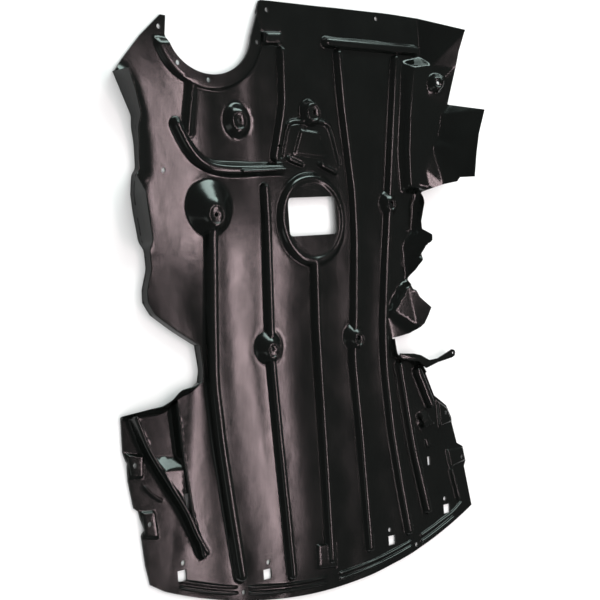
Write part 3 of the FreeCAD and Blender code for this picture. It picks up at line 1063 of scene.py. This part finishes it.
    def hole_loops(self) -> list[Array]:
        """Plan polygons of every hole and opening, turning left."""
        loops = [circle(hole, self.screw_r, 1.4) for hole in self.screw_holes]
        loops += [circle(hole, self.dome_hole_r, 1.4) for hole in self.dome_holes]
        loops.append(circle(self.boss_hole, self.boss_hole_r, 1.2))
        square = np.array(((-1.0, -1.0), (1.0, -1.0), (1.0, 1.0), (-1.0, 1.0))) * self.slot_half
        loops += [walked(np.array(slot) + square, 3.0) for slot in self.clip_slots]
        corner = np.radians(np.arange(0, 91, 15))
        drain = []
        for k, (sx, sy) in enumerate(((1, 1), (-1, 1), (-1, -1), (1, -1))):
            bend = corner + k * math.pi / 2
            middle = np.array(self.drain) + np.array((sx, sy)) * self.drain_half
            drain.append(middle + self.drain_corner * np.stack([np.cos(bend), np.sin(bend)], 1))
        loops.append(walked(np.vstack(drain), 5.0))
        loops += [walked(np.array(slit, float), 5.0) for slit in self.slits]
        return loops

    def cells(self, points: Array, column: int = 0, row: int = 0) -> tuple[Array, Array]:
        """Cell that each plan point lies in, or one some way beside it.

        Args:
            points: the plan points, one row each.
            column: columns to move to the right.
            row: rows to move up.

        Returns:
            Row numbers and column numbers, for indexing.
        """
        at = ((points - self.cell_from) / self.cell).astype(int)
        columns, rows = self.cell_count
        return np.clip(at[:, 1] + row, 0, rows - 1), np.clip(at[:, 0] + column, 0, columns - 1)

    def plan_mesh(self, outline: Array, holes: list[Array]) -> tuple[Array, Array]:
        """Triangulate the plan along the outline, the holes and every form's lines.

        Args:
            outline: the tray's outline.
            holes: the loops of the holes.

        Returns:
            Plan points and triangles, turning left.
        """
        edge = walked(outline, 4.0)
        slender, wide = self.parts()
        loops = [edge] + holes + [line for form in slender + wide for line in form.lines()]
        loops.append(walked(inset(outline, 1.2), 5.0))
        dense = np.vstack([walked(loop, 1.5) for loop in loops])
        taken = np.zeros(self.cell_count[::-1], bool)
        for dx in (-1, 0, 1):
            for dy in (-1, 0, 1):
                taken[self.cells(dense, dx, dy)] = True
        spread = staggered(np.arange(-460.0, 460.0, self.field_step),
                           np.arange(-545.0, 545.0, self.field_step * 0.866))
        (x0, y0), (x1, y1) = self.fine_from, self.fine_to
        coarse = ~((spread[:, 0] > x0 - 2) & (spread[:, 1] > y0 - 2))
        side = staggered(np.arange(x0, x1, self.fine_step[0]), np.arange(y0, y1, self.fine_step[1]))
        spread = np.vstack([spread[coarse], side])
        spread = spread[~taken[self.cells(spread)]]
        spread = spread[inside_polygon(spread[:, 0], spread[:, 1], outline)]
        points, edges, start = [spread], [], len(spread)
        for loop in loops:
            number = start + np.arange(len(loop))
            points.append(loop)
            edges.append(np.stack([number, np.roll(number, -1)], 1))
            start += len(loop)
        made = delaunay_2d_cdt(np.vstack(points).tolist(), np.vstack(edges).tolist(), [], 0, 0.02)
        plan = np.array([tuple(corner) for corner in made[0]])
        triangles = np.array(made[2])
        middle = plan[triangles].mean(1)
        keep = inside_polygon(middle[:, 0], middle[:, 1], edge)
        for loop in holes:
            keep &= ~inside_polygon(middle[:, 0], middle[:, 1], loop)
        a, b, c = (plan[triangles[:, i]] for i in range(3))
        area = (b[:, 0] - a[:, 0]) * (c[:, 1] - a[:, 1]) - (c[:, 0] - a[:, 0]) * (b[:, 1] - a[:, 1])
        triangles = np.where((area < 0)[:, None], triangles[:, ::-1], triangles)[keep & (np.abs(area) > 1e-4)]
        used, new = np.unique(triangles, return_inverse=True)
        return plan[used], new.reshape(-1, 3)

    def build(self, material: bpy.types.Material) -> bpy.types.Object:
        """Make the tray: engine side, street side below it and the edge faces between them.

        Args:
            material: the finish.

        Returns:
            The finished piece.
        """
        plan, top = self.plan_mesh(self.outline(), self.hole_loops())
        x, y = plan.T
        sheet = self.sheet()
        z = self.height(x, y, sheet)
        d = self.slope_step
        slope_x = (self.height(x + d, y, sheet) - self.height(x - d, y, sheet)) / (2 * d)
        slope_y = (self.height(x, y + d, sheet) - self.height(x, y - d, sheet)) / (2 * d)
        steep = np.sqrt(1.0 + slope_x ** 2 + slope_y ** 2)
        below = np.maximum(z - self.wall * np.minimum(steep, self.steepest), 0.0)
        normal = np.stack([-slope_x, -slope_y, np.ones(len(x))], 1) / steep[:, None]
        n = len(plan)
        points = np.vstack([np.column_stack([plan, z]), np.column_stack([plan, below])])
        runs = np.stack([top, np.roll(top, -1, axis=1)], -1).reshape(-1, 2)
        key = np.sort(runs, axis=1)
        _, first, count = np.unique(key, axis=0, return_index=True, return_counts=True)
        rim = runs[first[count == 1]]
        walls = np.concatenate([np.stack([rim[:, 0], rim[:, 0] + n, rim[:, 1] + n], 1),
                                np.stack([rim[:, 0], rim[:, 1] + n, rim[:, 1]], 1)])
        faces = np.concatenate([top, top[:, ::-1] + n, walls])
        side = points[walls]
        out = np.cross(side[:, 1] - side[:, 0], side[:, 2] - side[:, 0])
        out /= np.maximum(np.linalg.norm(out, axis=1), 1e-9)[:, None]
        corner_normals = np.concatenate([normal[top].reshape(-1, 3), -normal[top[:, ::-1]].reshape(-1, 3),
                                         np.repeat(out, 3, axis=0)])
        piece = mesh_object("tray", points, faces.tolist())
        piece.data.shade_smooth()
        if len(piece.data.loops) == len(corner_normals):
            piece.data.normals_split_custom_set(corner_normals.tolist())
        else:
            log.warning("the tray's mesh lost faces, so its normals stay its own")
        piece.data.materials.append(material)
        return piece


@dataclass
class Flange:
    """Upright flange along a path: foot fillet, wall and a rounded rim, each station x, y, height, lean."""

    name: str
    stations: tuple[tuple[float, float, float, float], ...]
    wall: float = 3.0

    def build(self, material: bpy.types.Material) -> bpy.types.Object:
        """Carry the wall's profile along the path.

        Args:
            material: the finish.

        Returns:
            The finished piece.
        """
        raw = np.array(self.stations, float)
        runs = np.hypot(*np.diff(raw[:, :2], axis=0).T)
        at = np.concatenate([[0.0], np.cumsum(runs)])
        where = np.linspace(0.0, at[-1], max(int(at[-1] / 3.0), 8))
        line = np.stack([np.interp(where, at, raw[:, i]) for i in range(4)], 1)
        even_out(line, 3)
        _, inward = directions(line[:, :2])
        # profile: share of the height, lift above it and distance inwards, from the outer foot over the rim
        w = self.wall
        profile = np.array([
            (0.0, 0.0, 0.0), (0.5, 0.0, 0.0), (1.0, -1.2, 0.1), (1.0, -0.4, 0.6), (1.0, 0.0, w / 2),
            (1.0, -0.4, w - 0.6), (1.0, -1.2, w - 0.1), (0.6, 0.0, w), (0.0, 9.0, w + 0.2),
            (0.0, 5.5, w + 1.4), (0.0, 3.6, w + 3.4), (0.0, 2.4, w + 5.5), (0.0, 0.0, w + 5.5)])
        share, lift, reach = profile.T
        height = line[:, 2:3] * share + lift
        height = np.clip(height, 0.0, np.maximum(line[:, 2:3], 0.5))
        lean = line[:, 3:4] * height / np.maximum(line[:, 2:3], 1.0)
        x = line[:, 0:1] + inward[:, 0:1] * (reach - lean)
        y = line[:, 1:2] + inward[:, 1:2] * (reach - lean)
        points = np.stack([x, y, height], -1)
        n, m = height.shape
        number = np.arange(n * m).reshape(n, m)
        ahead = np.roll(number, -1, axis=1)
        quads = np.stack([number[:-1], number[1:], ahead[1:], ahead[:-1]], -1).reshape(-1, 4)
        faces = quads.tolist() + [number[0].tolist(), number[-1][::-1].tolist()]
        piece = mesh_object(self.name, points.reshape(-1, 3), faces)
        piece.data.materials.append(material)
        smooth_shading(piece, 50.0)
        return piece


@dataclass
class Arm:
    """Thin arm with a small eye that reaches out from the waist."""

    outline: Plan = (
        (212, -125), (249, -129), (269, -134), (293, -146), (318, -145), (354, -134), (362, -131),
        (369, -133), (372, -138), (369, -145), (361, -148), (318, -153), (283, -161), (262, -146),
        (232, -141), (207, -131))
    low: float = 15.0
    high: float = 19.0

    def build(self, material: bpy.types.Material) -> bpy.types.Object:
        """Build the arm as a bevelled plate.

        Args:
            material: the finish.

        Returns:
            The finished piece.
        """
        loop = np.array(self.outline, float)[::-1]
        piece = prism("arm", loop, self.low, self.high)
        turn = np.linspace(0, 2 * np.pi, 16, endpoint=False)
        eye = prism("eye", np.array((365, -139)) + 2.5 * np.stack([np.cos(turn), np.sin(turn)], 1), 0, 40)
        cut = piece.modifiers.new("eye", "BOOLEAN")
        cut.object = eye
        cut.operation = "DIFFERENCE"
        cut.solver = "EXACT"
        edge = piece.modifiers.new("edge", "BEVEL")
        edge.width = 1.0 * MM
        edge.segments = 2
        apply_modifiers(piece)
        bpy.data.objects.remove(eye)
        piece.data.materials.clear()
        piece.data.materials.append(material)
        smooth_shading(piece, 40.0)
        return piece


# Studio


class Lamp(Enum):
    """The studio's lamps: place, size, power and colour."""

    KEY_REAR = ((0.81, 0.38, 1.5), (-0.4, 0.38, 0.0), (0.50, 0.07), 2.7, "FFE4E8")
    KEY_FRONT = ((1.06, -0.38, 1.5), (-0.24, -0.12, 0.0), (1.1, 0.08), 5.2, "FFE4E8")
    FILL = ((-1.6, -1.2, 2.6), (0.0, 0.0, 0.0), (1.2, 1.2), 3.4, "F2FAF4")
    REAR = ((1.3, 2.2, 1.35), (0.0, 0.0, 0.0), (1.9, 0.8), 42.0, "DCF4EE")


@dataclass(frozen=True)
class Studio:
    """Pale floor, soft lamps and the photograph's camera."""

    camera_at: tuple[float, float, float] = (-1.9159, 0.0731, 1.9874)
    right: tuple[float, float, float] = (0.7217, -0.0743, 0.6883)
    up: tuple[float, float, float] = (0.0731, 0.9968, 0.0310)
    focal_mm: float = 90.0
    sensor_mm: float = 36.0
    floor_code: str = "F4F4F4"
    floor_half_mm: float = 30000.0
    floor_drop: float = 0.0006
    mirrored_world: float = 0.09

    def camera(self) -> None:
        """Place the camera where the photograph was taken from."""
        data = bpy.data.cameras.new("camera")
        data.lens = self.focal_mm
        data.sensor_width = self.sensor_mm
        data.clip_start, data.clip_end = 0.05, 50.0
        made = placed("camera", data)
        right, up = Vector(self.right).normalized(), Vector(self.up).normalized()
        back = right.cross(up).normalized()
        up = back.cross(right)
        turn = Matrix((right, up, back)).transposed().to_4x4()
        made.matrix_world = Matrix.Translation(Vector(self.camera_at)) @ turn
        bpy.context.scene.camera = made

    def floor(self) -> None:
        """Plain pale floor, matt, so that it takes the object's shadow."""
        square = np.array(((-1.0, -1.0, 0.0), (1.0, -1.0, 0.0), (1.0, 1.0, 0.0), (-1.0, 1.0, 0.0)))
        made = mesh_object("floor", square * self.floor_half_mm, [[0, 1, 2, 3]])
        made.location.z = -self.floor_drop
        material = bpy.data.materials.new("pale_floor")
        tree = empty_tree(material)
        matt = add_node(tree, "ShaderNodeBsdfDiffuse", {}, {"Color": linear(self.floor_code)})
        add_node(tree, "ShaderNodeOutputMaterial", {}, {"Surface": matt.outputs[0]})
        made.data.materials.append(material)

    def lamps(self) -> None:
        """Hang the soft lamps, each turned to its target."""
        for lamp in Lamp:
            place, target, size, power, code = lamp.value
            data = bpy.data.lights.new(lamp.name.lower(), "AREA")
            data.shape = "RECTANGLE"
            data.size, data.size_y = size
            data.energy = power
            data.color = linear(code)[:3]
            made = placed(lamp.name.lower(), data)
            made.location = place
            aim = Vector(target) - Vector(place)
            made.rotation_mode = "QUATERNION"
            made.rotation_quaternion = aim.to_track_quat("-Z", "Y")

    def world(self) -> None:
        """Plain pale surroundings, white but dim where glossy surfaces mirror them."""
        world = bpy.data.worlds.new("surroundings")
        bpy.context.scene.world = world
        tree = empty_tree(world)
        path = add_node(tree, "ShaderNodeLightPath")
        strength = add_node(tree, "ShaderNodeMapRange", {}, {
            "Value": path.outputs["Is Glossy Ray"], "To Min": 1.0, "To Max": self.mirrored_world})
        back = add_node(tree, "ShaderNodeBackground", {}, {
            "Color": linear("FFFFFF"), "Strength": strength.outputs["Result"]})
        add_node(tree, "ShaderNodeOutputWorld", {}, {"Surface": back.outputs[0]})

    def build(self) -> None:
        """Set up everything that isn't the object."""
        scene = bpy.context.scene
        scene.view_settings.view_transform = "Standard"
        self.camera()
        self.floor()
        self.lamps()
        self.world()


FLANGES: tuple[Flange, ...] = (
    Flange("left_rear_strip", ((-414, 402, 44, 0), (-398, 364, 38, 0), (-383, 329, 28, 0), (-385, 310, 20, 0),
                               (-382, 283, 15, 0), (-383, 241, 11, 0), (-392, 231, 14, 0),
                               (-397, 199, 43, 0))),
    Flange("left_box_flange", ((-397, 199, 43, 0), (-395, 169, 43, 0), (-388, 119, 40, 0), (-378, 105, 16, 0),
                               (-377, 73, 16, 0), (-389, 39, 16, 0), (-390, 18, 16, 0), (-376, -4, 16, 0),
                               (-332, -35, 16, 0), (-286, -63, 16, 0))),
    Flange("left_waist_flange", ((-286, -63, 16, 0), (-281, -106, 14, 0), (-286, -126, 16, 0))),
    Flange("left_wheel_flange", ((-286, -126, 16, 2), (-304, -137, 19, 8), (-331, -144, 19, 12),
                                 (-350, -158, 19, 12), (-372, -166, 19, 12), (-408, -166, 19, 9),
                                 (-453, -166, 7, 3))),
    Flange("right_waist_flange",
           ((294, -169, 8, 0), (262, -136, 19, 0), (204, -128, 18, 0), (204, -96, 12, 2))),
)


def main() -> None:
    """Build the shield and its studio."""
    logging.basicConfig(level=logging.INFO, format="%(name)s %(message)s")
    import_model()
    material = Polypropylene().material()
    pieces = [Tray().build(material)]
    pieces += [flange.build(material) for flange in FLANGES]
    pieces.append(Arm().build(material))
    for piece in pieces:
        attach(piece, "root")
        log.info("%s: %d faces", piece.name, len(piece.data.polygons))
    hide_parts("splash_shield")
    Studio().build()
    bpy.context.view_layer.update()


if __name__ == "__main__":
    main()
